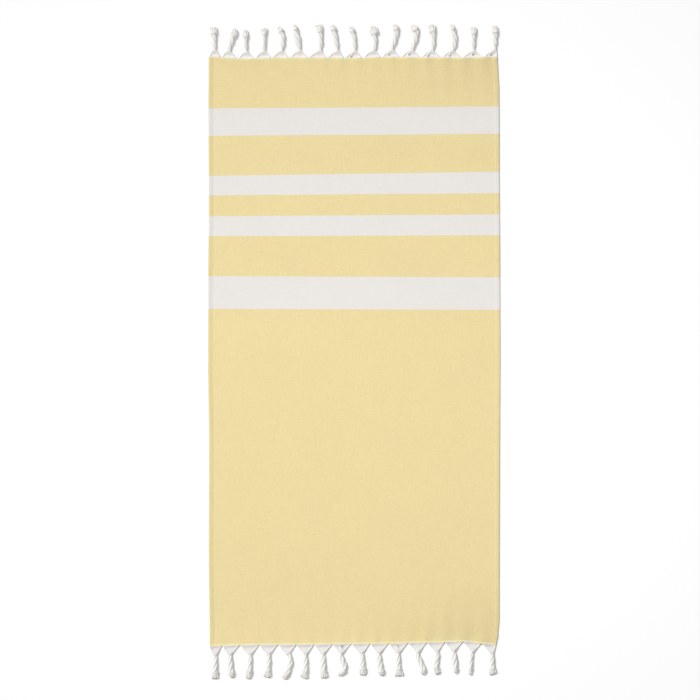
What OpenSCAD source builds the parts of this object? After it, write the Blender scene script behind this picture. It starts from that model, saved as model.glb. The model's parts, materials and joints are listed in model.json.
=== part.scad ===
// Flat-woven bath towel with white stripes and a row of knotted tassels at each end.
// It lies open with its underside on z = 0. X runs across it, +Y points to the striped
// head end and +Z is up. The origin is the middle of the underside.

/* [Cloth] */
// Width of the cloth from one side edge to the other
cloth_w = 900; // [850:10:1000]
// Length of the cloth between its two fringed ends
cloth_l = 1800; // [1700:10:2000]
// Thickness of the woven cloth
cloth_t = 1.5; // [1:0.1:2.5]
// Width of the firmer woven edge along each side
selvedge_w = 12; // [6:1:15]
// How much thicker the side edges are than the cloth
selvedge_extra = 0.5; // [0.2:0.1:1]

/* [Stripes] */
// Length of the yellow border at the head end
head_border_l = 155; // [120:5:160]
// Length of the first white stripe from the head end
white_stripe_1_l = 80; // [50:5:85]
// Length of the yellow stripe after the first white one
yellow_stripe_1_l = 125; // [90:5:130]
// Length of the second white stripe
white_stripe_2_l = 60; // [30:5:65]
// Length of the yellow stripe after the second white one
yellow_stripe_2_l = 65; // [30:5:70]
// Length of the third white stripe
white_stripe_3_l = 60; // [30:5:65]
// Length of the yellow stripe after the third white one
yellow_stripe_3_l = 130; // [90:5:135]
// Length of the fourth and widest white stripe
white_stripe_4_l = 100; // [60:5:105]

/* [Fringe] */
// Number of tassels at each end
tassel_count = 16; // [14:1:17]
// Distance from a side edge to the centre of the outermost tassel
fringe_margin = 22; // [20:1:30]
// How many times wider the last gap between head tassels is than the first
head_pitch_ratio = 1.3; // [1:0.05:1.4]
// How many times wider the last gap between foot tassels is than the first
foot_pitch_ratio = 1; // [1:0.05:1.4]
// Length of the shortest tassel at each end
tassel_short_l = 92; // [85:1:95]
// Length of the longest tassel at each end
tassel_long_l = 102; // [96:1:110]

/* [Tassel] */
// Length of the web of loose warp threads that gathers into a tassel
web_l = 26; // [22:1:30]
// Thickness of the web
web_t = 2.5; // [2.2:0.1:3]
// Gap between the webs of neighbouring tassels where they leave the cloth
web_gap = 5; // [3:1:8]
// Distance from a side edge to the nearest web
corner_gap = 9; // [5:1:10]
// Thickness of the cord where it leaves the web
neck_d = 10; // [10:0.2:11]
// Length over which the neck swells to the full cord
neck_l = 8; // [6:1:12]
// Thickness of the twisted cord
cord_d = 12; // [11:0.5:12]
// Thickness of the knot
knot_d = 14; // [12.5:0.5:14]
// Length of the brushed tuft beyond the knot
tuft_l = 14; // [8:1:18]

/* [Folds] */
// Width of the slit between the pieces of cloth on each side of a fold
fold_slit = 0.4; // [0.3:0.1:1]
// Gap between the cloth's end and the foot of each tassel
root_gap = 0.3; // [0.3:0.1:1]

/* [Hidden] */
$fn = 32;
yellow = [0.92, 0.80, 0.50];
natural_white = [0.91, 0.90, 0.87];

// How far each tassel's tip leans sideways, from left to right
head_leans = [-5, 15, -5, 0, -10, -15, -5, -15, -10, 0, 5, 10, -5, -5, 0, 0];
foot_leans = [0, 5, -5, -5, -15, -5, 5, -10, 5, 15, 0, 15, 5, 10, -5, 5];

// Lengths of the woven stripes in order from the head end
stripe_lengths = [
    head_border_l, white_stripe_1_l, yellow_stripe_1_l, white_stripe_2_l,
    yellow_stripe_2_l, white_stripe_3_l, yellow_stripe_3_l, white_stripe_4_l
];
head_y = cloth_l / 2;
foot_y = -head_y;

// Where stripe number i starts, counted from 0 at the head end
function stripe_y(i) = i == 0 ? head_y : stripe_y(i - 1) - stripe_lengths[i - 1];

// The end folds lie at a stripe's edge and its mirror image, the middle fold at y = 0.
// The end folds turn about z = 8 and the middle fold about z = 21, above what they enclose.
// A tassel turns about the top of its web, where the web meets the cloth's end.
head_fold_y = stripe_y(3);
foot_fold_y = -head_fold_y;
half_slit = fold_slit / 2;
neck_r = neck_d / 2;

// Two decimal digits, so that the tassels sort in order
function two_digits(n) = str(n < 10 ? "0" : "", n);
function head_name(i) = str("head_tassel_", two_digits(i + 1));
function foot_name(i) = str("foot_tassel_", two_digits(i + 1));
tassels = [0 : tassel_count - 1];

// Tassel centres run from one margin to the other, with gaps that widen evenly
function uneven(ratio) = (ratio - 1) / (ratio + 1);
function steps_to(i, ratio) = i + uneven(ratio) * (i * (i - 1) / (tassel_count - 2) - i);
function tassel_x(i, ratio) =
    -cloth_w / 2 + fringe_margin
    + (cloth_w - 2 * fringe_margin) * steps_to(i, ratio) / (tassel_count - 1);

// A web starts halfway to the next tassel, or at the corner gap beside the side edge
function web_left(i, ratio) =
    i == 0 ? -cloth_w / 2 + corner_gap
    : (tassel_x(i - 1, ratio) + tassel_x(i, ratio) + web_gap) / 2;
function web_right(i, ratio) =
    i == tassel_count - 1 ? cloth_w / 2 - corner_gap
    : (tassel_x(i, ratio) + tassel_x(i + 1, ratio) - web_gap) / 2;

// Tassels grow longer from left to right at the head end, and shorter at the foot end
function part_way(i) = i / (tassel_count - 1);
function head_length(i) = tassel_short_l + (tassel_long_l - tassel_short_l) * part_way(i);
function foot_length(i) = tassel_long_l - (tassel_long_l - tassel_short_l) * part_way(i);

// Outline of the cloth across its width, with a thicker edge on each side
module cloth_section() {
    translate([-cloth_w / 2, 0]) square([cloth_w, cloth_t]);
    for (x = [-cloth_w / 2, cloth_w / 2 - selvedge_w])
        translate([x, 0]) square([selvedge_w, cloth_t + selvedge_extra]);
}

// The stretch of cloth between two places along its length
module cloth(low_y, high_y) {
    translate([0, high_y, 0])
        rotate([90, 0, 0])
            linear_extrude(high_y - low_y) cloth_section();
}

module head_border() {
    color(yellow) cloth(stripe_y(1), stripe_y(0));
}

module white_stripe_1() {
    color(natural_white) cloth(stripe_y(2), stripe_y(1));
}

module yellow_stripe_1() {
    color(yellow) cloth(stripe_y(3) + half_slit, stripe_y(2));
}

module white_stripe_2() {
    color(natural_white) cloth(stripe_y(4), stripe_y(3) - half_slit);
}

module yellow_stripe_2() {
    color(yellow) cloth(stripe_y(5), stripe_y(4));
}

module white_stripe_3() {
    color(natural_white) cloth(stripe_y(6), stripe_y(5));
}

module yellow_stripe_3() {
    color(yellow) cloth(stripe_y(7), stripe_y(6));
}

module white_stripe_4() {
    color(natural_white) cloth(stripe_y(8), stripe_y(7));
}

// Plain field above the middle fold
module field_upper() {
    color(yellow) cloth(half_slit, stripe_y(8));
}

// Plain field between the middle fold and the foot fold
module field_centre() {
    color(yellow) cloth(foot_fold_y + half_slit, -half_slit);
}

// Plain field between the foot fold and the foot end
module field_foot() {
    color(yellow) cloth(foot_y, foot_fold_y - half_slit);
}

// Half the outline of a cord along its length: neck, cord, knot and brushed tuft
module cord_outline(length) {
    knot_r = knot_d / 2;
    cord_r = cord_d / 2;
    knot_end = length - tuft_l;
    polygon([
        [0, 0], [neck_r, 0], [cord_r, neck_l], [cord_r, knot_end - 2 * knot_r],
        [knot_r, knot_end - 1.5 * knot_r], [knot_r, knot_end - 0.5 * knot_r],
        [cord_r, knot_end], [knot_r, length], [0, length]
    ]);
}

// One tassel pointing along +Y: a flat web that gathers into a twisted, knotted cord
module tassel(left, right, x, length, tip_shift) {
    start_y = web_l - neck_l;
    run = length - start_y;
    color(natural_white) {
        linear_extrude(web_t)
            polygon([[left, 0], [right, 0], [x + neck_r, web_l], [x - neck_r, web_l]]);
        translate([x, start_y, knot_d / 2])
            rotate([-90, 0, -atan2(tip_shift, run)])
                rotate_extrude() cord_outline(run);
    }
}

module head_tassel(i) {
    translate([0, head_y + root_gap, 0])
        tassel(
            web_left(i, head_pitch_ratio), web_right(i, head_pitch_ratio),
            tassel_x(i, head_pitch_ratio), head_length(i), head_leans[i % len(head_leans)]
        );
}

module foot_tassel(i) {
    translate([0, foot_y - root_gap, 0])
        mirror([0, 1, 0])
            tassel(
                web_left(i, foot_pitch_ratio), web_right(i, foot_pitch_ratio),
                tassel_x(i, foot_pitch_ratio), foot_length(i), foot_leans[i % len(foot_leans)]
            );
}

head_border();
white_stripe_1();
yellow_stripe_1();
white_stripe_2();
yellow_stripe_2();
white_stripe_3();
yellow_stripe_3();
white_stripe_4();
field_upper();
field_centre();
field_foot();
for (i = tassels) head_tassel(i);
for (i = tassels) foot_tassel(i);
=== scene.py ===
"""Looks of a fringed hammam towel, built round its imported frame.

Metres throughout. +X runs across the towel, +Y towards its striped head end, +Z up from the
surface it lies on. Every place comes from the frame: the cloth from the CAD boxes, and the
tassels from their hinges and boxes.
"""
import json
import math
import random

import bpy
import numpy as np
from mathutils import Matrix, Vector


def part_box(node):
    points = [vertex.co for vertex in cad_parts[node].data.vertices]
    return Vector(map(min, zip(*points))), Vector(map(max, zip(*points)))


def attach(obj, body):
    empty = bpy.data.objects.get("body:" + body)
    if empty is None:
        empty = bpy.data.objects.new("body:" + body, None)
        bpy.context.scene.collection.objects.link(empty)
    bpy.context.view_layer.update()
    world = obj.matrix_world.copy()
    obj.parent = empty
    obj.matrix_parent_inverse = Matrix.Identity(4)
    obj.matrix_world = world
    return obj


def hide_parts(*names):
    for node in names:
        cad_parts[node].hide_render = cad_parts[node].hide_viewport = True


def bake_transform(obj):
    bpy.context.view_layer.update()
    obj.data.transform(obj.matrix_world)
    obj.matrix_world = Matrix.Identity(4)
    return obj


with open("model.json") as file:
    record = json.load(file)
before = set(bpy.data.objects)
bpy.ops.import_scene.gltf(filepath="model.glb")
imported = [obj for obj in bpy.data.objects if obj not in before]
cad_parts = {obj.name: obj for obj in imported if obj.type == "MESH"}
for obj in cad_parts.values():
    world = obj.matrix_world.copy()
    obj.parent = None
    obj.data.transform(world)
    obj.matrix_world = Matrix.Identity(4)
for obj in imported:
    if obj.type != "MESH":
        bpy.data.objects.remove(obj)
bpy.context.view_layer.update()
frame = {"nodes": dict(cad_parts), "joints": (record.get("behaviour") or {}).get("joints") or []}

# ---------------------------------------------------------------- the cloth's own sizes
CLOTH_T = 0.0015
SELVEDGE_W = 0.012
SELVEDGE_EXTRA = 0.0005
WARP_PITCH = 0.0016
WEFT_PITCH = 0.0014
# size of the mesh's cells, and how many rows it has where the cloth turns at a fold
GRID = 0.006
BEND_ROWS = 33
# how far the cloth turns on each side of a fold, for each metre that the hinge stands above it
FOLD_REACH = 1.2
# distances in from a side edge to the mesh's columns there, and the edge's rounding
EDGE_COLUMNS = (0, 0.0006, 0.0018, 0.004, 0.007, 0.010, 0.0115)
EDGE_ROUNDING = 0.0012
EDGE_THIN = 0.35
# the step down from the firm side edge: where it starts and how long it is, as shares of the edge
STEP_START, STEP_LENGTH = 0.8, 0.25

# ---------------------------------------------------------------- the frame's places
HINGE = {j["name"]: j for j in frame["joints"]}
HEAD_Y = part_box("head_border")[1][1]
FOOT_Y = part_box("field_foot")[0][1]
HALF_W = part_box("field_centre")[1][0]
HEAD_FOLD = HINGE["fold_head"]["pos_m"]
MIDDLE_FOLD = HINGE["fold_middle"]["pos_m"]
FOOT_FOLD = HINGE["fold_foot"]["pos_m"]


def smooth(t):
    """0 below t = 0, 1 above t = 1, and a smooth step between."""
    t = np.clip(t, 0, 1)
    return t * t * (3 - 2 * t)


# ---------------------------------------------------------------- camera
# the width of floor in view, and where the camera stands above it
VIEW_WIDTH = 2.149
CAMERA_PLACE = (-0.0123, 0.0026, 7.0)
SENSOR_MM = 36


def make_camera():
    """Straight above the towel, with its head end at the top of the picture."""
    data = bpy.data.cameras.new("camera")
    data.sensor_width = SENSOR_MM
    data.lens = SENSOR_MM * CAMERA_PLACE[2] / VIEW_WIDTH
    camera = bpy.data.objects.new("camera", data)
    camera.location = CAMERA_PLACE
    bpy.context.scene.collection.objects.link(camera)
    bpy.context.scene.camera = camera


# ---------------------------------------------------------------- node helpers
def new_material(name):
    """A new material with its node tree and its Principled shader."""
    material = bpy.data.materials.new(name)
    material.use_nodes = True
    tree = material.node_tree
    shader = next(n for n in tree.nodes if n.type == "BSDF_PRINCIPLED")
    return material, tree, shader


def link(tree, value, socket):
    """Joins a socket to a socket, or sets a plain value on it."""
    if isinstance(value, bpy.types.NodeSocket):
        tree.links.new(value, socket)
    else:
        socket.default_value = value


def maths(tree, operation, a, b=0.0):
    """One step of arithmetic on sockets or numbers."""
    node = tree.nodes.new("ShaderNodeMath")
    node.operation = operation
    for value, socket in zip((a, b), node.inputs):
        link(tree, value, socket)
    return node.outputs[0]


def stretched(tree, vector, scale):
    """The vector with each of its parts multiplied."""
    node = tree.nodes.new("ShaderNodeVectorMath")
    node.operation = "MULTIPLY"
    link(tree, vector, node.inputs[0])
    node.inputs[1].default_value = scale
    return node.outputs[0]


def noise(tree, vector, scale, detail=2.0, roughness=0.5):
    """Soft noise over a place, mostly from 0.3 to 0.7."""
    node = tree.nodes.new("ShaderNodeTexNoise")
    link(tree, vector, node.inputs["Vector"])
    node.inputs["Scale"].default_value = scale
    node.inputs["Detail"].default_value = detail
    node.inputs["Roughness"].default_value = roughness
    return node.outputs["Fac"]


def ramp(tree, value, low, high, start=0.0, end=1.0):
    """A value from low to high, mapped on to start to end."""
    node = tree.nodes.new("ShaderNodeMapRange")
    link(tree, value, node.inputs["Value"])
    node.inputs["From Min"].default_value = low
    node.inputs["From Max"].default_value = high
    node.inputs["To Min"].default_value = start
    node.inputs["To Max"].default_value = end
    return node.outputs["Result"]


def varied(tree, value, change):
    """A factor that noise moves up and down from 1 by at most about the change."""
    return ramp(tree, value, 0.3, 0.7, 1 - change, 1 + change)


def mixed(tree, share, a, b):
    """Colour a turning to colour b by the share."""
    node = tree.nodes.new("ShaderNodeMix")
    node.data_type = "RGBA"
    link(tree, share, node.inputs["Factor"])
    link(tree, a, node.inputs["A"])
    link(tree, b, node.inputs["B"])
    return node.outputs["Result"]


def shaded(tree, colour, factor):
    """The colour times a number."""
    node = tree.nodes.new("ShaderNodeMix")
    node.data_type = "RGBA"
    node.blend_type = "MULTIPLY"
    node.inputs["Factor"].default_value = 1.0
    grey = tree.nodes.new("ShaderNodeCombineColor")
    for socket in grey.inputs:
        link(tree, factor, socket)
    link(tree, colour, node.inputs["A"])
    link(tree, grey.outputs["Color"], node.inputs["B"])
    return node.outputs["Result"]


def bump(tree, height, distance):
    """The normal of a surface that rises by the distance for each unit of height."""
    node = tree.nodes.new("ShaderNodeBump")
    link(tree, height, node.inputs["Height"])
    node.inputs["Distance"].default_value = distance
    node.inputs["Strength"].default_value = 1.0
    return node.outputs["Normal"]


def place_on_cloth(tree):
    """The point's place when the towel lies open, which stays with the cloth when it folds."""
    node = tree.nodes.new("ShaderNodeAttribute")
    node.attribute_name = "laid"
    return node.outputs["Vector"]


def parts(tree, vector):
    """The X, Y and Z sockets of a vector."""
    node = tree.nodes.new("ShaderNodeSeparateXYZ")
    link(tree, vector, node.inputs[0])
    return node.outputs


def ridge(tree, coordinate, pitch):
    """Rounded threads side by side: 0 between them and 1 on top."""
    turn = maths(tree, "MULTIPLY", coordinate, math.pi / pitch)
    return maths(tree, "ABSOLUTE", maths(tree, "SINE", turn))


# ---------------------------------------------------------------- materials
COTTON_ROUGHNESS = 0.92
COTTON_SPECULAR = 0.2
SHEEN = 0.25
SHEEN_ROUGHNESS = 0.5
# how much of its own colour the warp shows where it lies on top
WARP_SHARE = 0.8
# the twill: its repeat in threads, its step from row to row, and the share with the warp on top
TWILL_REPEAT = 3.0
TWILL_STEP = 2.0
WARP_ON_TOP = 0.3
# how far the threads wander, and how often
WANDER = 0.0012
WANDER_SCALE = 90.0
# streaks of thick and thin yarn along each thread direction, soft clouds and broad changes
WEFT_SLUB = (30.0, 330.0, 1.0)
WARP_SLUB = (300.0, 24.0, 1.0)
SLUB_DETAIL = (3.0, 0.6)
CLOUD_SCALE = 120.0
CLOUD_DETAIL = (3.0, 0.55)
BROAD_SCALE = 6.0
BROAD_CHANGE = 0.008
# painted shade between the threads and painted light on top of them
THREAD_PAINTED_SHADE_AND_LIGHT = (0.93, 1.02)
# the last picks at each end: how far in they reach and fade, and how much they cover
LAST_PICKS_FROM_END = (0.0035, 0.0055)
LAST_PICKS_SHARE = 0.9
# where painted shade darkens the right-hand ends, across the cloth and in from its ends, and by how
# much
PAINTED_SHADE_FROM_X = (0.05, 0.42)
PAINTED_SHADE_FROM_END = (0.02, 0.20)
PAINTED_SHADE_TONE = 0.92
# the firm side edges: where they fade, and their ribs, with painted shade between them
SELVEDGE_FADE = (0.9, 1.15)
RIB_PITCH = WEFT_PITCH * 2.5
RIB_PAINTED_SHADE = 0.88


def matt_cotton(shader):
    """A matt surface with the faint sheen of its fibres."""
    shader.inputs["Roughness"].default_value = COTTON_ROUGHNESS
    shader.inputs["Specular IOR Level"].default_value = COTTON_SPECULAR
    shader.inputs["Sheen Weight"].default_value = SHEEN
    shader.inputs["Sheen Roughness"].default_value = SHEEN_ROUGHNESS


def cloth_material(name, weft, warp, last_picks, mottle, relief):
    """Woven cotton: weft threads across, warp threads along, passing over and under in turn."""
    material, tree, shader = new_material(name)
    matt_cotton(shader)
    laid = place_on_cloth(tree)
    x, y = parts(tree, laid)[:2]
    wander = maths(tree, "MULTIPLY", noise(tree, laid, WANDER_SCALE), WANDER)
    warp_ridge = ridge(tree, maths(tree, "ADD", x, wander), WARP_PITCH)
    weft_ridge = ridge(tree, maths(tree, "ADD", y, wander), WEFT_PITCH)

    # over and under: one warp thread in three lies on top, one step further along in each row
    step_x = maths(tree, "FLOOR", maths(tree, "DIVIDE", x, WARP_PITCH))
    step_y = maths(tree, "FLOOR", maths(tree, "DIVIDE", y, WEFT_PITCH))
    twill = maths(tree, "ADD", step_x, maths(tree, "MULTIPLY", step_y, TWILL_STEP))
    turn = maths(tree, "FRACT", maths(tree, "DIVIDE", twill, TWILL_REPEAT))
    warp_up = maths(tree, "LESS_THAN", turn, WARP_ON_TOP)
    height = maths(
        tree, "ADD",
        maths(tree, "MULTIPLY", warp_ridge, warp_up),
        maths(tree, "MULTIPLY", weft_ridge, maths(tree, "SUBTRACT", 1.0, warp_up)),
    )

    # thick and thin yarn, which shows as faint streaks along both thread directions
    slub_weft = noise(tree, stretched(tree, laid, WEFT_SLUB), 1.0, *SLUB_DETAIL)
    slub_warp = noise(tree, stretched(tree, laid, WARP_SLUB), 1.0, *SLUB_DETAIL)
    cloud = noise(tree, laid, CLOUD_SCALE, *CLOUD_DETAIL)
    broad = noise(tree, laid, BROAD_SCALE)
    tone = maths(tree, "MULTIPLY", varied(tree, slub_weft, mottle), varied(tree, slub_warp, mottle))
    tone = maths(tree, "MULTIPLY", tone, varied(tree, cloud, mottle))
    tone = maths(tree, "MULTIPLY", tone, varied(tree, broad, BROAD_CHANGE))
    # painted shade between the threads, and painted light on their tops
    tone = maths(tree, "MULTIPLY", tone, ramp(tree, height, 0.0, 1.0, *THREAD_PAINTED_SHADE_AND_LIGHT))
    # painted shade: the ends of the right-hand side are a little darker
    to_head = maths(tree, "SUBTRACT", HEAD_Y, y)
    to_foot = maths(tree, "SUBTRACT", y, FOOT_Y)
    to_end = maths(tree, "MINIMUM", to_head, to_foot)
    rightwards = ramp(tree, x, *PAINTED_SHADE_FROM_X)
    painted_shade = maths(tree, "MULTIPLY", rightwards, ramp(tree, to_end, *PAINTED_SHADE_FROM_END, 1.0, 0.0))
    tone = maths(tree, "MULTIPLY", tone, ramp(tree, painted_shade, 0.0, 1.0, 1.0, PAINTED_SHADE_TONE))
    share = maths(tree, "MULTIPLY", warp_up, WARP_SHARE)
    colour = shaded(tree, mixed(tree, share, weft, warp), tone)

    # the last few picks at each end, beaten up closer, show more of the weft's colour
    last = ramp(tree, to_end, *LAST_PICKS_FROM_END, LAST_PICKS_SHARE, 0.0)
    colour = mixed(tree, last, colour, last_picks)

    # the firm side edges, where the weft turns back and packs closer
    side = maths(tree, "SUBTRACT", HALF_W, maths(tree, "ABSOLUTE", x))
    fade_start, fade_end = (SELVEDGE_W * share for share in SELVEDGE_FADE)
    edge = ramp(tree, side, fade_start, fade_end, 1.0, 0.0)
    packed = ridge(tree, y, RIB_PITCH)
    # painted shade between the packed ribs of the firm side edges
    rib_painted_shade = ramp(tree, packed, 0.0, 1.0, RIB_PAINTED_SHADE, 1.0)
    colour = mixed(tree, edge, colour, shaded(tree, colour, rib_painted_shade))
    height = maths(tree, "ADD", height, maths(tree, "MULTIPLY", edge, packed))

    link(tree, colour, shader.inputs["Base Color"])
    link(tree, bump(tree, height, relief), shader.inputs["Normal"])
    return material


# the hollows between strands, which get painted shade: how far out from the core they end, and the
# shade's tone
HOLLOW = (0.30, 0.95)
HOLLOW_PAINTED_SHADE = 0.85
FIBRE_STRETCH = (1.0, 0.35, 1.0)
FIBRE_SCALE = 1500.0
FIBRE_DETAIL = (3.0, 0.7)
FIBRE_TONE = (0.95, 1.03)
FIBRE_RELIEF = 0.0003
PATCH_SCALE = 140.0
PATCH_CHANGE = 0.02


def yarn_material(name, colour):
    """Soft cotton yarn: fine fibres, and a little painted shade in the hollows between strands."""
    material, tree, shader = new_material(name)
    matt_cotton(shader)
    laid = place_on_cloth(tree)
    node = tree.nodes.new("ShaderNodeAttribute")
    node.attribute_name = "painted_shade_depth"
    painted_hollow_shade = ramp(tree, node.outputs["Fac"], *HOLLOW, HOLLOW_PAINTED_SHADE, 1.0)
    fibre = noise(tree, stretched(tree, laid, FIBRE_STRETCH), FIBRE_SCALE, *FIBRE_DETAIL)
    patch = noise(tree, laid, PATCH_SCALE)
    tone = maths(tree, "MULTIPLY", painted_hollow_shade, ramp(tree, fibre, 0.3, 0.7, *FIBRE_TONE))
    tone = maths(tree, "MULTIPLY", tone, varied(tree, patch, PATCH_CHANGE))
    link(tree, shaded(tree, colour, tone), shader.inputs["Base Color"])
    link(tree, bump(tree, fibre, FIBRE_RELIEF), shader.inputs["Normal"])
    return material


YELLOW_WEFT = (0.84, 0.675, 0.31, 1)
YELLOW_WARP = (0.86, 0.77, 0.50, 1)
WHITE_WEFT = (0.73, 0.705, 0.67, 1)
WHITE_WARP = (0.75, 0.73, 0.70, 1)
YARN = (0.825, 0.80, 0.765, 1)
LAST_PICKS = (0.93, 0.81, 0.37, 1)
YELLOW_MOTTLE, WHITE_MOTTLE = 0.022, 0.010
YELLOW_RELIEF, WHITE_RELIEF = 0.0004, 0.0002

yellow_cloth = cloth_material(
    "yellow_cloth", YELLOW_WEFT, YELLOW_WARP, LAST_PICKS, YELLOW_MOTTLE, YELLOW_RELIEF
)
white_cloth = cloth_material(
    "white_cloth", WHITE_WEFT, WHITE_WARP, WHITE_WEFT, WHITE_MOTTLE, WHITE_RELIEF
)
white_yarn = yarn_material("white_yarn", YARN)


# ---------------------------------------------------------------- mesh helper
def make_mesh(name, points, faces, material, laid, depth=None, sharp=None):
    """A piece from its points and faces, with its laid-out place kept as an attribute."""
    mesh = bpy.data.meshes.new(name)
    mesh.from_pydata([tuple(p) for p in points], [], faces)
    mesh.polygons.foreach_set("use_smooth", np.ones(len(mesh.polygons), bool))
    attribute = mesh.attributes.new("laid", "FLOAT_VECTOR", "POINT")
    attribute.data.foreach_set("vector", np.asarray(laid, np.float32).ravel())
    # the depth that sets each point's painted shade
    if depth is not None:
        attribute = mesh.attributes.new("painted_shade_depth", "FLOAT", "POINT")
        attribute.data.foreach_set("value", np.asarray(depth, np.float32))
    if sharp is not None:
        edges = np.empty(len(mesh.edges) * 2, int)
        mesh.edges.foreach_get("vertices", edges)
        both = np.asarray(sharp)[edges.reshape(-1, 2)].all(axis=1)
        attribute = mesh.attributes.new("sharp_edge", "BOOLEAN", "EDGE")
        attribute.data.foreach_set("value", both)
    mesh.materials.append(material)
    mesh.update()
    piece = bpy.data.objects.new(name, mesh)
    bpy.context.scene.collection.objects.link(piece)
    return piece


# ---------------------------------------------------------------- the cloth's lie
# The cloth isn't quite square. These offsets are whole millimetres.
# how far each stripe's edges, from the field to the head border, lie up the towel at its sides
STRIPE_EDGES = [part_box(f"white_stripe_{n}")[end][1] for n in (4, 3, 2, 1) for end in (0, 1)]
LINE_AT = (FOOT_Y, 0.0, *STRIPE_EDGES, HEAD_Y)
LINE_LEFT = (0, 1, 4, 4, -3, -2, -3, -3, -5, -1, 0)
LINE_RIGHT = (0, 0, 1, 1, 0, 4, 4, 10, 1, 5, 0)
# how far the two ends lie up the towel, at even steps from its left side to its right
END_AT = np.linspace(-HALF_W, HALF_W, 9)
HEAD_END = (2, -4, -1, -1, -2, 1, 0, -1, 2)
FOOT_END = (-6, -3, -2, -1, 1, 2, 5, 8, -2)
END_REACH = 0.08
# how far the two side edges lie in from the CAD ones
LEFT_AT = (-0.90, -0.60, -0.30, -0.05, 0.20, 0.45, 0.75, 0.90)
LEFT_IN = (7, 4, 5, 2, 2, 4, 3, 4)
RIGHT_AT = (-0.90, -0.87, -0.82, -0.40, 0.00, 0.20, 0.70, 0.80, 0.86, 0.90)
RIGHT_IN = (14, 8, 4, 3, 1, 2, 4, 5, 8, 11)
MM = 0.001
# the height of the ripples, and each wave's turns to the right and up the towel in radians a
# metre, its start and its share
RIPPLE = 0.0006
WAVE_SHARE = 0.40
WAVES = ((9.0, 4.0, 0.4, 1.0), (-5.0, 11.0, 1.3, 0.8), (16.0, 3.0, 0.0, 0.6), (0.0, 21.0, 2.0, 0.5))
# the creases at the ends: how closely they follow each other and how unevenly, how far in they
# reach and how that changes across, and how much deeper they are on the right
CREASE_TURN = 110.0
CREASE_UNEVEN = (2.0, 6.0)
CREASE_REACH = 0.028
CREASE_REACH_CHANGE = (0.014, 23.0, 1.0)
CREASE_REACH_RIGHT = 0.045
CREASE_DEEPER_RIGHT = 1.5
# how far the right-hand side edge and the two ends rise from the floor, and how far in
SIDE_LIFT = 0.0009
SIDE_LIFT_REACH = 0.012
END_LIFT = 0.0020
END_LIFT_REACH = 0.015


def eased(place, at, values):
    """The value at a place, easing from each given value to the next."""
    at, values = np.asarray(at), np.asarray(values) * MM
    i = np.clip(np.searchsorted(at, place, side="right") - 1, 0, len(at) - 2)
    share = smooth((place - at[i]) / (at[i + 1] - at[i]))
    return values[i] + (values[i + 1] - values[i]) * share


def from_left(x):
    """0 at the left side edge and 1 at the right one."""
    return (x / HALF_W + 1) / 2


def lie_y(x, y):
    """Where the woven line y lies at x."""
    left, right = eased(y, LINE_AT, LINE_LEFT), eased(y, LINE_AT, LINE_RIGHT)
    line = left + (right - left) * from_left(x)
    head = eased(x, END_AT, HEAD_END) * smooth(1 - (HEAD_Y - y) / END_REACH)
    foot = eased(x, END_AT, FOOT_END) * smooth(1 - (y - FOOT_Y) / END_REACH)
    return y + line + head + foot


def lie_x(x, y):
    """Where the warp line x lies at y."""
    left, right = eased(y, LEFT_AT, LEFT_IN), eased(y, RIGHT_AT, RIGHT_IN)
    return x + left * (1 - from_left(x)) - right * from_left(x)


def lie_z(x, y):
    """Height of the underside: low ripples, and creases where the tassels draw the ends in."""
    wave = sum(size * np.sin(right * x + up * y + start) for right, up, start, size in WAVES)
    end = np.maximum(np.minimum(HEAD_Y - y, y - FOOT_Y), 0)
    rightwards = from_left(x) ** 2
    change, turn, start = CREASE_REACH_CHANGE
    reach = CREASE_REACH + change * np.sin(turn * x + start) + CREASE_REACH_RIGHT * rightwards
    depth = 1.0 + CREASE_DEEPER_RIGHT * rightwards
    uneven = CREASE_UNEVEN[0] * np.sin(CREASE_UNEVEN[1] * x)
    creases = depth * np.sin(CREASE_TURN * x + uneven) * np.exp(-end / reach)
    side_lift = SIDE_LIFT * np.exp(-(HALF_W - x) / SIDE_LIFT_REACH)
    end_lift = END_LIFT * np.exp(-end / END_LIFT_REACH)
    return RIPPLE * np.clip(1.0 + WAVE_SHARE * wave + creases, 0, None) + side_lift + end_lift


def fold_reach(fold):
    """How far along the cloth it turns, on each side of a fold."""
    return fold[2] * FOLD_REACH


def across():
    """Columns across the cloth: fine at the side edges, even between them."""
    inner = HALF_W - SELVEDGE_W
    side = np.array(EDGE_COLUMNS)
    middle = np.linspace(-inner, inner, round(2 * inner / GRID) + 1)
    return np.concatenate([-HALF_W + side, middle, HALF_W - side[::-1]])


def thickness(x):
    """The cloth's thickness: rounded off at the side edge, and fuller in the selvedge."""
    side = HALF_W - np.abs(x)
    rounded = np.sqrt(np.clip(side / EDGE_ROUNDING, 0, 1))
    step = (side - SELVEDGE_W * STEP_START) / (SELVEDGE_W * STEP_LENGTH)
    full = SELVEDGE_EXTRA * (1 - smooth(step))
    return (CLOTH_T + full) * (EDGE_THIN + (1 - EDGE_THIN) * rounded)


def rows_along(low_y, high_y, fold):
    """Even rows along a run of cloth, and closer ones where it turns at its fold."""
    ys = np.linspace(low_y, high_y, max(2, round((high_y - low_y) / GRID) + 1))
    if fold is None:
        return ys
    reach = fold_reach(fold)
    close = fold[1] + np.linspace(-reach, reach, BEND_ROWS)
    close = close[(close >= low_y) & (close <= high_y)]
    return np.sort(np.concatenate([ys[np.abs(ys - fold[1]) > reach + GRID / 2], close]))


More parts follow.
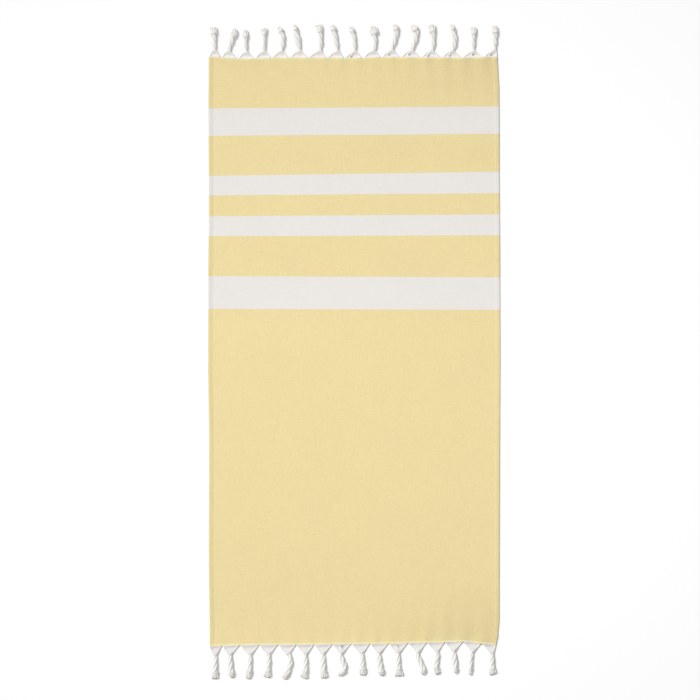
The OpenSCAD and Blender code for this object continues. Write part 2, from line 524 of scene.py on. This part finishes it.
def cloth_piece(name, low_y, high_y, material, fold=None):
    """One woven run of cloth as a closed sheet, from low_y to high_y."""
    xs = across()
    ys = rows_along(low_y, high_y, fold)
    x, y = np.meshgrid(xs, ys)
    rows, columns = x.shape
    under = lie_z(x, y)
    thick = thickness(x)
    flat = np.stack([x, y, np.zeros_like(x)], -1).reshape(-1, 3)
    where = np.stack([lie_x(x, y), lie_y(x, y)], -1).reshape(-1, 2)
    top = np.column_stack([where, (under + thick).ravel()])
    bottom = np.column_stack([where, under.ravel()])
    count = rows * columns
    i = (np.arange(rows - 1)[:, None] * columns + np.arange(columns - 1)).ravel()
    up = np.column_stack([i, i + 1, i + columns + 1, i + columns])
    down = up[:, ::-1] + count
    rim = np.concatenate([
        np.arange(columns),
        np.arange(1, rows) * columns + columns - 1,
        (rows - 1) * columns + np.arange(columns - 2, -1, -1),
        np.arange(rows - 2, 0, -1) * columns,
    ])
    onward = np.roll(rim, -1)
    wall = np.column_stack([onward, rim, rim + count, onward + count])
    ends = np.zeros(2 * count, bool)
    for row in (0, rows - 1):
        for layer in (0, count):
            ends[layer + row * columns:layer + (row + 1) * columns] = True
    return make_mesh(
        name, np.concatenate([top, bottom]), np.concatenate([up, down, wall]).tolist(),
        material, np.concatenate([flat, flat]), sharp=ends,
    )


def make_cloth():
    """All the runs of cloth: those on one panel ride on it, and those across a fold stay where they
    lie.
    """
    centre_low, centre_high = (corner[1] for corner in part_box("field_centre"))
    split = (centre_low + centre_high) / 2
    stripes = [
        ("head_border", yellow_cloth), ("white_stripe_1", white_cloth),
        ("yellow_stripe_1", yellow_cloth), ("white_stripe_2", white_cloth),
        ("yellow_stripe_2", yellow_cloth), ("white_stripe_3", white_cloth),
        ("yellow_stripe_3", yellow_cloth), ("white_stripe_4", white_cloth),
    ]
    pieces = []
    for name, material in stripes:
        low, high = (corner[1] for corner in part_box(name))
        if name == "yellow_stripe_1":
            low = HEAD_FOLD[1]
        if name == "white_stripe_2":
            high = HEAD_FOLD[1]
        folded = name in ("yellow_stripe_1", "white_stripe_2")
        piece = cloth_piece(f"{name}_cloth", low, high, material, HEAD_FOLD if folded else None)
        if folded:
            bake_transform(piece)
        else:
            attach(piece, "head_panel" if name in ("head_border", "white_stripe_1") else "upper_panel")
        pieces.append((piece, name, low, high))

    fields = [
        ("field_upper_cloth", "field_upper", MIDDLE_FOLD[1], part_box("field_upper")[1][1],
         ("upper_panel", "centre_panel"), MIDDLE_FOLD),
        ("field_centre_cloth", "field_centre", split, MIDDLE_FOLD[1],
         ("upper_panel", "centre_panel"), MIDDLE_FOLD),
        ("field_centre_foot_cloth", "field_centre", FOOT_FOLD[1], split,
         ("centre_panel", "foot_panel"), FOOT_FOLD),
        ("field_foot_cloth", "field_foot", FOOT_Y, FOOT_FOLD[1],
         ("centre_panel", "foot_panel"), FOOT_FOLD),
    ]
    for name, node, low, high, bodies, fold in fields:
        piece = cloth_piece(name, low, high, yellow_cloth, fold)
        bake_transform(piece)
        pieces.append((piece, node, low, high))
    for piece, node, low, high in pieces:
        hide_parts(node)
    return pieces


# ---------------------------------------------------------------- tassels
WEB_L = {"head": 0.022, "foot": 0.028}
WEB_POWER = {"head": (0.75, 0.95), "foot": (0.90, 1.10)}
WEB_T = 0.0018
WEB_EDGE_T = 0.0050
WEB_EDGE_W = 0.0035
WEB_FOLLOW = 0.6
WEB_THREADS = 20
WEB_SHIFT = {"head": -0.0022, "foot": -0.0035}
WEB_SPREAD = {"head": -0.0003, "foot": 0.0010}
CORNER_SHIFT = {"head": (-0.003, -0.001), "foot": (-0.002, -0.005)}
# how much painted shade the webs get at each end: the lower, the darker
WEB_SHADE = {"head": 1.0, "foot": 0.35}
SLIT_W = 0.0048
NECK_W = 0.0112
FULLNESS = 1.07
CORD_START = 0.82
NECK_H = NECK_W * 0.75
CORD_H = 0.0112
KNOT_H = 0.0132
TUFT_H = 0.0090
# places along a cord from its neck (0) to its tip (1): where its line is given, where it has
# swollen to its full width, where each kind of end has its knot, and where it widens to its tip
LINE_PLACES = (0, 0.45, 0.75, 1.0)
NECK_REACH = 0.40
KNOT_AT = {"brush": 0.74, "flare": 0.74, "bud": 0.70, "round": 0.80}
WIDENS = {"brush": (0.45, 0.90), "flare": (0.68, 0.95), "bud": (0.55, 0.80), "round": (0.45, 0.90)}
# round and bud ends close from this place on, by this much
CLOSES_FROM = 0.80
CLOSES_BY = 0.80
# how much a knot bulges and how far along, and how much it draws the strands in and how far
KNOT_BULGE, KNOT_BULGE_REACH = 0.09, 0.06
KNOT_DRAW, KNOT_DRAW_REACH = 0.36, 0.045
# the straight tassel that the strands are laid out in has this half-width, and radii are shares
UNIT = 0.006
PLIES = 3
PLY_CENTRE = 0.47
PLY_TURNS = 1.1
YARNS = 4
YARN_CENTRE = 0.25
YARN_TURNS = 3.0
YARN_RADIUS = 0.27
CORD_PAST_KNOT = 0.05
KNOT_TURNS = 2.4
KNOT_LENGTH = 0.085
KNOT_SLANT = 0.02
KNOT_RING, KNOT_RING_RISE = 0.58, 0.18
KNOT_RADIUS = 0.20
TUFT_STRANDS = 34
TUFT_SPREAD = 0.88
TUFT_RADIUS = 0.15
GOLDEN_SHARE = 0.381966

# Each tassel one by one, from left to right, in millimetres. How far its middle line lies to the
# right of the CAD tassel's: at the neck, halfway, at three quarters and at the tip. Then its
# width halfway and near the tip, how much longer it is than the CAD one, and how it ends.
HEAD_TASSELS = [
    ((0, 1, 1, 1), (14, 23), 0, "brush"), ((-7, -5, -2, -1), (16, 22), -5, "bud"),
    ((-3, -3, -2, -1), (12, 18), -9, "bud"), ((-1, 0, 0, -1), (11, 22), -5, "flare"),
    ((0, 9, 8, -2), (15, 16), 1, "round"), ((2, 2, 1, 0), (20, 16), 7, "round"),
    ((9, 14, 13, 10), (14, 25), 4, "flare"), ((8, 8, 7, 4), (16, 18), 5, "round"),
    ((3, 6, 4, -2), (14, 17), -2, "round"), ((2, 7, 4, 2), (14, 28), -2, "bud"),
    ((-1, 7, 9, 0), (15, 19), 4, "round"), ((0, 7, 5, -12), (16, 23), 0, "round"),
    ((1, 7, 6, 5), (15, 23), 0, "brush"), ((1, 10, 8, 3), (19, 15), 2, "round"),
    ((3, 2, 3, 3), (14, 22), -9, "flare"), ((3, 4, 4, 3), (15, 20), -6, "brush"),
]
FOOT_TASSELS = [
    ((2, 2, 1, 1), (14, 21), 4, "brush"), ((-10, -11, -10, -6), (16, 18), 3, "round"),
    ((-5, -4, -5, -7), (14, 19), 6, "bud"), ((-5, -3, -4, -6), (13, 25), 1, "flare"),
    ((-3, 10, 5, -4), (15, 18), 9, "round"), ((-6, -4, -4, -8), (15, 23), 5, "flare"),
    ((-10, -12, -12, -10), (17, 23), 5, "flare"), ((-10, 0, 5, -15), (16, 15), 0, "round"),
    ((-6, -5, -6, -6), (14, 22), -3, "brush"), ((-9, -14, -14, -13), (16, 18), 3, "round"),
    ((-7, -7, -6, -5), (14, 27), 2, "flare"), ((-3, -4, 1, -7), (16, 16), 1, "round"),
    ((-3, -6, -9, -2), (15, 17), -4, "brush"), ((-8, -10, -10, -11), (18, 13), -2, "round"),
    ((-7, -10, -10, -11), (11, 11), 1, "brush"), ((-5, -7, -8, -6), (15, 25), -1, "flare"),
]
# where a web has parted into a slit: its share of the way across, and how far out it starts
HEAD_SLITS = {9: (0.3, 0.15), 11: (0.3, 0.3), 12: (0.35, 0.3), 13: (0.3, 0.15),
              14: (0.35, 0.2), 15: (0.5, 0.4), 16: (0.4, 0.2)}
FOOT_SLITS = {8: (0.5, 0.15), 11: (0.45, 0.1)}


class Shells:
    """Collects closed tubes and sheets into one piece."""

    def __init__(self):
        self.points = []
        self.faces = []
        self.depth = []
        self.count = 0

    def add(self, points, faces, depth):
        """Takes in one closed shell, and the depth of each of its points, which sets its painted
        shade.
        """
        self.faces += [[v + self.count for v in face] for face in faces]
        self.points.append(points)
        self.depth.append(depth)
        self.count += len(points)

    def tube(self, course, radius, sides, lay):
        """A closed tube along a course in a straight tassel, which lay then bends and flattens."""
        n = len(course)
        radius = np.broadcast_to(radius, n)
        along = np.gradient(course, axis=0)
        along /= np.linalg.norm(along, axis=1)[:, None]
        side = np.cross(along, np.array([0.0, 0.0, 1.0]))
        side /= np.maximum(np.linalg.norm(side, axis=1)[:, None], 1e-9)
        other = np.cross(side, along)
        angle = 2 * np.pi * np.arange(sides) / sides
        ring = (
            side[:, None, :] * np.cos(angle)[None, :, None]
            + other[:, None, :] * np.sin(angle)[None, :, None]
        )
        points = (course[:, None, :] + ring * radius[:, None, None]).reshape(-1, 3)
        points = np.concatenate([points, course[[0, -1]]])
        a = np.arange(n - 1)[:, None] * sides + np.arange(sides)
        b = np.arange(n - 1)[:, None] * sides + (np.arange(sides) + 1) % sides
        faces = np.stack([a, a + sides, b + sides, b], -1).reshape(-1, 4).tolist()
        first, last, base = n * sides, n * sides + 1, (n - 1) * sides
        faces += [[first, i, (i + 1) % sides] for i in range(sides)]
        faces += [[last, base + (i + 1) % sides, base + i] for i in range(sides)]
        # each point's painted shade is set by how far out from the core it lies
        self.add(lay(points), faces, np.hypot(points[:, 1], points[:, 2]) / UNIT)


class Cord:
    """The course of one cord from its neck to its tip, and its width and height on the way."""

    def __init__(self, neck, root_y, sign, run, lean, sways, widths, longer, ending):
        self.neck, self.root_y, self.sign, self.run = neck, root_y, sign, run + longer * MM
        at = np.array(LINE_PLACES)
        place = lean * at + np.array(sways) * MM
        self.line = np.polyfit(at, place, 3)
        self.middle, self.tip = (w * FULLNESS * MM for w in widths)
        self.ending = ending
        self.knot_at = KNOT_AT[ending]

    def width(self, t):
        """Full width: narrow at the neck, swelling to the middle and then towards the tip."""
        early, late = WIDENS[self.ending]
        full = NECK_W + (self.middle - NECK_W) * smooth(t / NECK_REACH)
        full = full + (self.tip - self.middle) * smooth((t - early) / (late - early))
        if self.ending in ("round", "bud"):
            closed = np.clip((t - CLOSES_FROM) / (1 - CLOSES_FROM), 0, 1)
            full = full * np.sqrt(1 - CLOSES_BY * closed ** 2)
        return full * (1 + KNOT_BULGE * self.near_knot(t))

    def height(self, t):
        """Full height: low at the neck, highest at the knot and lower again in the tuft."""
        rise = NECK_H + (CORD_H - NECK_H) * smooth(t / NECK_REACH)
        rise = rise + (KNOT_H - CORD_H) * self.near_knot(t)
        return rise + (TUFT_H - CORD_H) * smooth((t - self.knot_at) / (1 - self.knot_at))

    def near_knot(self, t):
        """1 at the knot, falling to 0 on both sides of it."""
        return np.exp(-((t - self.knot_at) / KNOT_BULGE_REACH) ** 2)

    def drawn_in(self, t):
        """How far the knot draws the strands in towards the middle."""
        return 1 - KNOT_DRAW * np.exp(-((t - self.knot_at) / KNOT_DRAW_REACH) ** 2)

    def lay(self, points):
        """Bends and flattens straight-tassel points: along, sideways and up."""
        t = points[:, 0] / self.run
        x = self.neck + np.polyval(self.line, t)
        slope = np.polyval(np.polyder(self.line), t) / self.run
        length = np.sqrt(1 + slope ** 2)
        across = points[:, 1] / UNIT * self.width(t) / 2
        out = points[:, 0] - across * slope / length
        y = self.root_y + self.sign * out
        z = self.height(t) / 2 * (1 + points[:, 2] / UNIT)
        return np.stack([x + across / length, y, np.maximum(z, 0.0001)], -1)


def spiral(t, centre_r, phase, turns):
    """Sideways and up places along a strand that winds round the middle."""
    angle = phase + 2 * np.pi * turns * t
    return np.cos(angle) * centre_r * UNIT, np.sin(angle) * centre_r * UNIT


def add_cord(shells, cord, rng):
    """Three plies twisted together, each of four yarns twisted the other way."""
    t = np.linspace(0, cord.knot_at + CORD_PAST_KNOT, 46)
    phase = rng.uniform(0, 2 * np.pi)
    for ply in range(PLIES):
        side, up = spiral(t, PLY_CENTRE, phase + 2 * np.pi * ply / PLIES, PLY_TURNS)
        for yarn in range(YARNS):
            a, b = spiral(t, YARN_CENTRE, 2 * np.pi * yarn / YARNS, -YARN_TURNS)
            pull = cord.drawn_in(t)
            course = np.stack([t * cord.run, (side + a) * pull, (up + b) * pull], -1)
            shells.tube(course, YARN_RADIUS * UNIT * pull, 6, cord.lay)


def add_knot(shells, cord, rng):
    """The knot: yarn wound twice round the cord and drawn tight."""
    share = np.linspace(0, 1, 44)
    angle = rng.uniform(0, 2 * np.pi) + 2 * np.pi * KNOT_TURNS * share
    slant = rng.uniform(-KNOT_SLANT, KNOT_SLANT)
    t = cord.knot_at + (share - 0.5) * KNOT_LENGTH + slant * np.cos(angle)
    ends = np.minimum(1, np.minimum(share, 1 - share) * 10)
    ring = KNOT_RING + KNOT_RING_RISE * ends
    course = np.stack([t * cord.run, np.cos(angle) * ring * UNIT, np.sin(angle) * ring * UNIT], -1)
    shells.tube(course, KNOT_RADIUS * UNIT * (0.5 + 0.5 * ends), 8, cord.lay)


def add_tuft(shells, cord, rng):
    """Loose strands beyond the knot, each cut a little shorter or longer."""
    for k in range(TUFT_STRANDS):
        angle = 2 * np.pi * GOLDEN_SHARE * k
        reach = TUFT_SPREAD * math.sqrt((k + 0.5) / TUFT_STRANDS)
        end = 1.0 - rng.uniform(0, 0.045) - 0.06 * reach * (cord.ending == "round")
        t = np.linspace(cord.knot_at, end, 9)
        sway = 0.05 * np.sin(rng.uniform(0, 6) + rng.uniform(5, 9) * np.linspace(0, 1, 9))
        pull = cord.drawn_in(t)
        side = (np.cos(angle) * reach + sway) * pull * UNIT
        up = np.sin(angle) * reach * pull * UNIT
        thin = TUFT_RADIUS * UNIT * (1 - 0.3 * np.linspace(0, 1, 9) ** 3)
        shells.tube(np.stack([t * cord.run, side, up], -1), thin, 6, cord.lay)


def add_web(shells, left, right, cord, end_of_cloth, web_l, power, shade, slit):
    """The flat fan of warp threads between the cloth's end and the neck."""
    rows, per_thread = 17, 4
    columns = WEB_THREADS * per_thread + 1
    v = np.linspace(-0.08, 1.20, rows)[:, None]
    u = np.linspace(0, 1, columns)[None, :]
    open_share = (1 - np.clip(v, 0, 1)) ** power
    sunk = 1 - 0.60 * smooth((v - 1) / 0.2)
    neck = NECK_W / 2 * sunk
    neck_x = cord.neck + cord.line[-1]
    low = neck_x - neck + (left - neck_x + neck) * open_share
    high = neck_x + neck + (right - neck_x - neck) * open_share
    x = low + (high - low) * u
    thread = np.abs(np.sin(np.pi * WEB_THREADS * u)) * np.ones_like(v)

    from_edge = np.minimum(x - low, high - x)
    gone = np.zeros((rows - 1, columns - 1), bool)
    if slit:
        gap, first = round(slit[0] * WEB_THREADS) * per_thread, int(1 + slit[1] * 12)
        last = first + 4
        lens = np.sin(np.pi * np.clip((np.arange(rows) - first) / (last - first), 0, 1))[:, None]
        column = np.arange(columns)[None, :]
        away = np.where(column <= gap, -1, 1) * np.exp(-np.abs(column - gap - 0.5) / 7)
        from_slit = np.abs(x - x[:, gap:gap + 1])
        from_edge = np.where(lens > 0, np.minimum(from_edge, from_slit), from_edge)
        x = x + lens * away * SLIT_W / 2
        gone[first:last, gap] = True

    gather = smooth((v - 0.30) / 0.70)
    dome = np.sqrt(np.clip(1 - (2 * u - 1) ** 2, 0, 1))
    plump = WEB_T + (WEB_EDGE_T - WEB_T) * np.exp(-(from_edge / WEB_EDGE_W) ** 2) * smooth(v / 0.2)
    flat_half = plump / 2 * (0.50 + 0.50 * thread)
    round_half = NECK_W * 0.37 * sunk * dome * (0.90 + 0.10 * thread) + 0.0002
    half = flat_half + (round_half - flat_half) * gather
    on_cloth = (lie_z(x, np.full_like(x, end_of_cloth)) + CLOTH_T / 2) * smooth(1 - v / 0.3)
    resting = (plump / 2 + gather * (NECK_W * 0.38 - plump / 2)) * smooth(v / 0.3)
    middle = on_cloth + resting
    y = lie_y(x, np.full_like(x, end_of_cloth)) + cord.sign * v * web_l

    count = rows * columns
    grid = np.arange(count).reshape(rows, columns)
    keep = ~gone
    up = np.stack([grid[:-1, :-1], grid[:-1, 1:], grid[1:, 1:], grid[1:, :-1]], -1)[keep]
    edges = np.concatenate([up[:, [0, 1]], up[:, [1, 2]], up[:, [2, 3]], up[:, [3, 0]]])
    seen = set(map(tuple, edges.tolist()))
    rim = np.array([e for e in edges.tolist() if (e[1], e[0]) not in seen])
    wall = np.column_stack([rim[:, 1], rim[:, 0], rim[:, 0] + count, rim[:, 1] + count])
    faces = np.concatenate([up, up[:, ::-1] + count, wall])
    if cord.sign < 0:
        faces = faces[:, ::-1]
    top = np.stack([x, y, middle + half], -1).reshape(-1, 3)
    bottom = np.stack([x, y, np.maximum(middle - half, 0.0001)], -1).reshape(-1, 3)
    # painted shade on the web: darker between its threads, near the cloth's end, and all over at the
    # foot
    depth = ((0.6 + 0.4 * thread) * (0.60 + 0.40 * smooth(v / 0.6))).ravel() * shade
    shells.add(np.concatenate([top, bottom]), faces.tolist(), np.concatenate([depth, depth]))


def tip_lean(name, neck_x, tip_y):
    """How far to the right of its neck the CAD tassel's tip lies."""
    points = [v.co for v in frame["nodes"][name].data.vertices]
    tips = [p.x for p in points if abs(p.y - tip_y) < 0.004]
    return (min(tips) + max(tips)) / 2 - neck_x


def make_tassel(end, number, shape, slit, web_shifts):
    """Web, plied cord, knot and tuft of one tassel, leading on from the cloth's end."""
    sign = 1 if end == "head" else -1
    name, panel, web_l = f"{end}_tassel_{number:02d}", f"{end}_panel", WEB_L[end]
    rng = random.Random(name)
    low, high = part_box(name)
    neck_x = HINGE[f"swing_{end}_{number:02d}"]["pos_m"][0]
    end_of_cloth = HEAD_Y if sign > 0 else FOOT_Y
    tip_y = high[1] if sign > 0 else low[1]
    lies_at = float(lie_y(np.array([neck_x]), np.array([end_of_cloth]))[0])
    start_y = lies_at + sign * web_l * CORD_START
    cord = Cord(neck_x, start_y, sign, abs(tip_y - start_y), tip_lean(name, neck_x, tip_y), *shape)

    shells = Shells()
    left, right = low[0] + web_shifts[0], high[0] + web_shifts[1]
    power = rng.uniform(*WEB_POWER[end])
    add_web(shells, left, right, cord, end_of_cloth, web_l, power, WEB_SHADE[end], slit)
    add_cord(shells, cord, rng)
    add_knot(shells, cord, rng)
    add_tuft(shells, cord, rng)

    points = np.concatenate(shells.points)
    depth = np.concatenate(shells.depth)
    piece = make_mesh(f"{name}_yarn", points, shells.faces, white_yarn, points, depth=depth)
    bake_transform(piece)
    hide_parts(name)
    return piece


def make_fringe(end, shapes, slits):
    """All the tassels of one end. Neighbouring webs stay side by side as their necks shift."""
    necks = np.array([shape[0][0] for shape in shapes]) * MM
    between = (necks[:-1] + necks[1:]) / 2 * WEB_FOLLOW + WEB_SHIFT[end]
    lefts = np.array([CORNER_SHIFT[end][0], *(between - WEB_SPREAD[end])])
    rights = np.array([*(between + WEB_SPREAD[end]), CORNER_SHIFT[end][1]])
    return [
        make_tassel(end, number, shape, slits.get(number), (lefts[number - 1], rights[number - 1]))
        for number, shape in enumerate(shapes, start=1)
    ]


# ---------------------------------------------------------------- floor and light
FLOOR_SIZE = 14.0
FLOOR_Z = -0.0003
FLOOR_WHITE = (0.89, 0.89, 0.89, 1)
SKY = 0.42
SUN = 2.45
SUN_DIRECTION = (0.56, -0.44, -0.70)
SUN_SOFTNESS = math.radians(16)
LAMP_PLACE = (-0.3, 0.0, 2.2)
LAMP_SIZE = (2.4, 0.3)
LAMP_POWER = 14


def make_floor():
    """A plain pale floor just under the towel."""
    mesh = bpy.data.meshes.new("floor")
    h = FLOOR_SIZE / 2
    corners = [(-h, -h, FLOOR_Z), (h, -h, FLOOR_Z), (h, h, FLOOR_Z), (-h, h, FLOOR_Z)]
    mesh.from_pydata(corners, [], [(0, 1, 2, 3)])
    material, _, shader = new_material("floor_white")
    shader.inputs["Base Color"].default_value = FLOOR_WHITE
    shader.inputs["Roughness"].default_value = 1.0
    shader.inputs["Specular IOR Level"].default_value = 0.0
    mesh.materials.append(material)
    floor = bpy.data.objects.new("floor", mesh)
    bpy.context.scene.collection.objects.link(floor)


def make_light():
    """Soft light from all round, a broad sun from the upper left, and a lamp overhead."""
    world = bpy.data.worlds.new("studio")
    world.use_nodes = True
    background = world.node_tree.nodes["Background"]
    background.inputs["Color"].default_value = (1, 1, 1, 1)
    background.inputs["Strength"].default_value = SKY
    bpy.context.scene.world = world
    data = bpy.data.lights.new("key", "SUN")
    data.energy = SUN
    data.angle = SUN_SOFTNESS
    key = bpy.data.objects.new("key", data)
    key.rotation_euler = Vector(SUN_DIRECTION).to_track_quat("-Z", "Y").to_euler()
    data = bpy.data.lights.new("overhead", "AREA")
    data.shape = "RECTANGLE"
    data.size, data.size_y = LAMP_SIZE
    data.energy = LAMP_POWER
    overhead = bpy.data.objects.new("overhead", data)
    overhead.location = LAMP_PLACE
    overhead.visible_camera = False
    for lamp in (key, overhead):
        bpy.context.scene.collection.objects.link(lamp)
    bpy.context.scene.view_settings.view_transform = "Standard"


# ---------------------------------------------------------------- the scene
make_camera()
cloth = make_cloth()
head_fringe = make_fringe("head", HEAD_TASSELS, HEAD_SLITS)
foot_fringe = make_fringe("foot", FOOT_TASSELS, FOOT_SLITS)
make_floor()
make_light()
